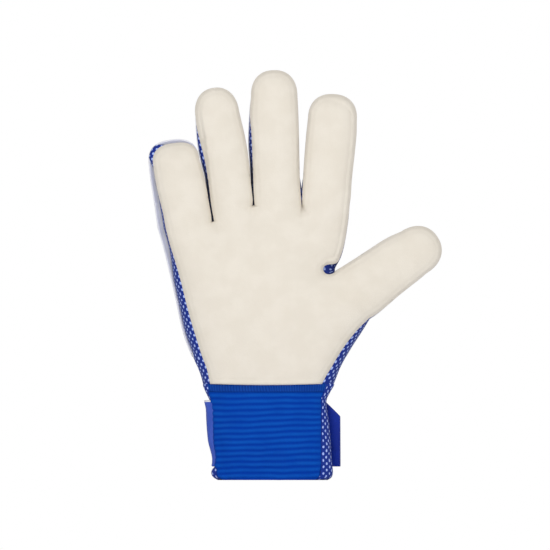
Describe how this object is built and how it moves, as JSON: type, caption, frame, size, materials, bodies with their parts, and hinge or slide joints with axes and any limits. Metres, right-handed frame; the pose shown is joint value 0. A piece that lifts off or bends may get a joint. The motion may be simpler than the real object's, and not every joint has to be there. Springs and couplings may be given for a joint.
{
  "type": "goalkeeper glove",
  "caption": "Right-hand goalkeeper glove with a flat-cut latex foam palm, mesh gussets, ribbed elastic cuff and a wrap-over closure strap.",
  "frame": {"origin": "centre of the wrist opening, in the plane of the cuff's bottom rim", "axes": "+Z towards the fingertips, -Y out of the palm, +X towards the thumb"},
  "size_m": [0.1901, 0.0406, 0.2664],
  "materials": {
    "latex_foam": "matt cream latex foam with a fine open grain",
    "back_foam": "smooth pale lavender-white foam",
    "gusset_mesh": "navy spacer mesh with pale staggered openings",
    "rib_elastic": "ribbed royal blue elastic",
    "strap_webbing": "smooth dark royal blue laminated strap",
    "hook_loop": "dark hook-and-loop pile"
  },
  "bodies": {
    "hand": {"backhand_foam": "back_foam", "cuff_back_panel": "gusset_mesh", "cuff_mesh_little_side": "gusset_mesh", "cuff_mesh_thumb_side": "gusset_mesh", "hand_back_mesh": "gusset_mesh", "little_side_gusset": "gusset_mesh", "loop_patch": "hook_loop", "palm_foam": "latex_foam", "strap_anchor": "strap_webbing", "thumb_crotch_gusset": "gusset_mesh", "thumb_side_gusset": "gusset_mesh", "wrist_elastic": "rib_elastic"},
    "little_base": {"little_base_back_foam": "back_foam", "little_base_gusset_little_side": "gusset_mesh", "little_base_gusset_thumb_side": "gusset_mesh", "little_base_palm_foam": "latex_foam"},
    "little_tip": {"little_tip_back_foam": "back_foam", "little_tip_gusset": "gusset_mesh", "little_tip_palm_foam": "latex_foam"},
    "ring_base": {"ring_base_back_foam": "back_foam", "ring_base_gusset_little_side": "gusset_mesh", "ring_base_gusset_thumb_side": "gusset_mesh", "ring_base_palm_foam": "latex_foam"},
    "ring_tip": {"ring_tip_back_foam": "back_foam", "ring_tip_gusset": "gusset_mesh", "ring_tip_palm_foam": "latex_foam"},
    "middle_base": {"middle_base_back_foam": "back_foam", "middle_base_gusset_little_side": "gusset_mesh", "middle_base_gusset_thumb_side": "gusset_mesh", "middle_base_palm_foam": "latex_foam"},
    "middle_tip": {"middle_tip_back_foam": "back_foam", "middle_tip_gusset": "gusset_mesh", "middle_tip_palm_foam": "latex_foam"},
    "index_base": {"index_base_back_foam": "back_foam", "index_base_gusset_little_side": "gusset_mesh", "index_base_gusset_thumb_side": "gusset_mesh", "index_base_palm_foam": "latex_foam"},
    "index_tip": {"index_tip_back_foam": "back_foam", "index_tip_gusset": "gusset_mesh", "index_tip_palm_foam": "latex_foam"},
    "thumb_base": {"thumb_base_back_foam": "back_foam", "thumb_base_gusset_little_side": "gusset_mesh", "thumb_base_gusset_thumb_side": "gusset_mesh", "thumb_base_palm_foam": "latex_foam"},
    "thumb_tip": {"thumb_tip_back_foam": "back_foam", "thumb_tip_gusset": "gusset_mesh", "thumb_tip_palm_foam": "latex_foam"},
    "strap": {"hook_patch": "hook_loop", "strap_band": "strap_webbing"},
    "strap_tab": {"strap_end_tab": "strap_webbing"}
  },
  "joints": [
    {"name": "little_base_hinge", "type": "hinge", "parent": "hand", "child": "little_base", "pos_m": [-0.05514, -0.0159, 0.16979], "axis": [0.9903, 0, 0.1392], "range_deg": [0, 75], "stiffness_Nm_per_rad": 0.06},
    {"name": "little_middle_hinge", "type": "hinge", "parent": "little_base", "child": "little_tip", "pos_m": [-0.05913, -0.01264, 0.19137], "axis": [0.9986, 0, 0.0523], "range_deg": [0, 85], "stiffness_Nm_per_rad": 0.04},
    {"name": "ring_base_hinge", "type": "hinge", "parent": "hand", "child": "ring_base", "pos_m": [-0.02401, -0.01539, 0.17753], "axis": [0.9969, 0, 0.0785], "range_deg": [0, 80], "stiffness_Nm_per_rad": 0.06},
    {"name": "ring_middle_hinge", "type": "hinge", "parent": "ring_base", "child": "ring_tip", "pos_m": [-0.02918, -0.01262, 0.20917], "axis": [0.9925, 0, 0.1219], "range_deg": [0, 90], "stiffness_Nm_per_rad": 0.04},
    {"name": "middle_base_hinge", "type": "hinge", "parent": "hand", "child": "middle_base", "pos_m": [0.0055, -0.01559, 0.1791], "axis": [1, 0, 0], "range_deg": [0, 80], "stiffness_Nm_per_rad": 0.06},
    {"name": "middle_middle_hinge", "type": "hinge", "parent": "middle_base", "child": "middle_tip", "pos_m": [0.00299, -0.01261, 0.21685], "axis": [1, 0, 0], "range_deg": [0, 90], "stiffness_Nm_per_rad": 0.04},
    {"name": "index_base_hinge", "type": "hinge", "parent": "hand", "child": "index_base", "pos_m": [0.0371, -0.0155, 0.1794], "axis": [1, 0, 0], "range_deg": [0, 80], "stiffness_Nm_per_rad": 0.06},
    {"name": "index_middle_hinge", "type": "hinge", "parent": "index_base", "child": "index_tip", "pos_m": [0.03908, -0.01257, 0.21061], "axis": [1, 0, 0], "range_deg": [0, 90], "stiffness_Nm_per_rad": 0.04},
    {"name": "thumb_base_hinge", "type": "hinge", "parent": "hand", "child": "thumb_base", "pos_m": [0.05517, -0.01931, 0.1209], "axis": [0.5358, 0, -0.8443], "range_deg": [0, 50], "stiffness_Nm_per_rad": 0.06},
    {"name": "thumb_middle_hinge", "type": "hinge", "parent": "thumb_base", "child": "thumb_tip", "pos_m": [0.07973, -0.01244, 0.13898], "axis": [0.5358, 0, -0.8443], "range_deg": [0, 75], "stiffness_Nm_per_rad": 0.04},
    {"name": "strap_swing", "type": "hinge", "parent": "hand", "child": "strap", "pos_m": [-0.0369, 0.01315, 0.03], "axis": [0, 0, 1], "range_deg": [0, 120]},
    {"name": "strap_tab_peel", "type": "hinge", "parent": "strap", "child": "strap_tab", "pos_m": [0.03524, 0.01571, 0.03], "axis": [0, 0, 1], "range_deg": [0, 60]}
  ]
}
